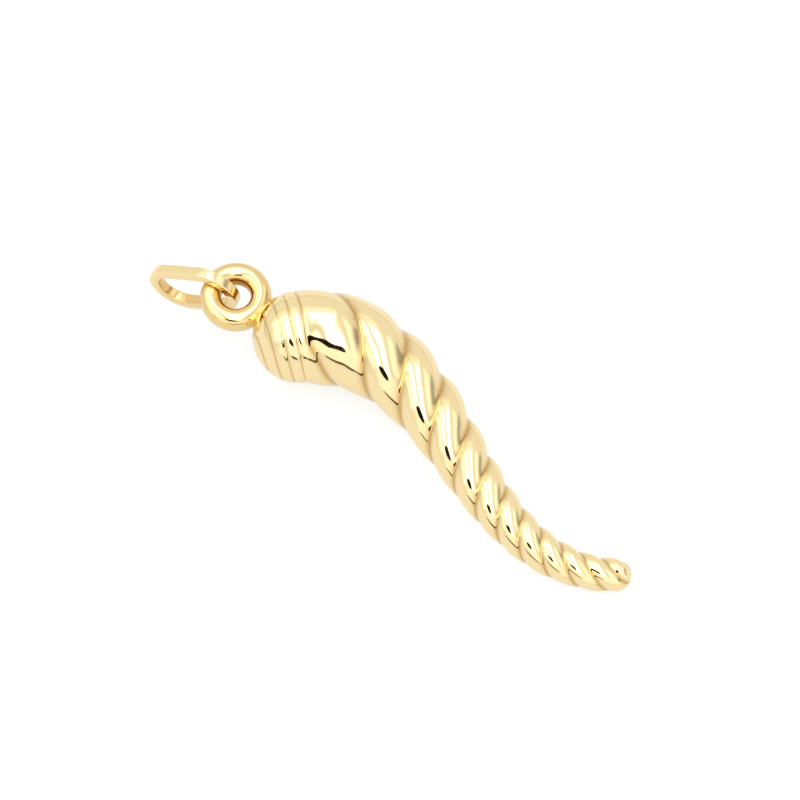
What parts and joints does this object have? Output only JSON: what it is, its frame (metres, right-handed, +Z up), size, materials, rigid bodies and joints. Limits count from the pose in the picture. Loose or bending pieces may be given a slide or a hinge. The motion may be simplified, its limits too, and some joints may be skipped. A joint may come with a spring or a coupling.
{
  "type": "horn pendant",
  "caption": "Twisted horn charm with a thick domed end, a slim rounded tip, a soldered hanging ring and an oval bail of square wire.",
  "frame": {"origin": "on the table, under the middle of the lying part", "axes": "+X from the hanging ring to the horn's tip, along the table; +Z up from the table"},
  "size_m": [0.0388, 0.008, 0.0064],
  "materials": {
    "horn_gold": "polished yellow gold",
    "bail_gold": "polished yellow gold"
  },
  "bodies": {
    "root": {"horn": "horn_gold", "bail": "bail_gold"}
  },
  "joints": []
}
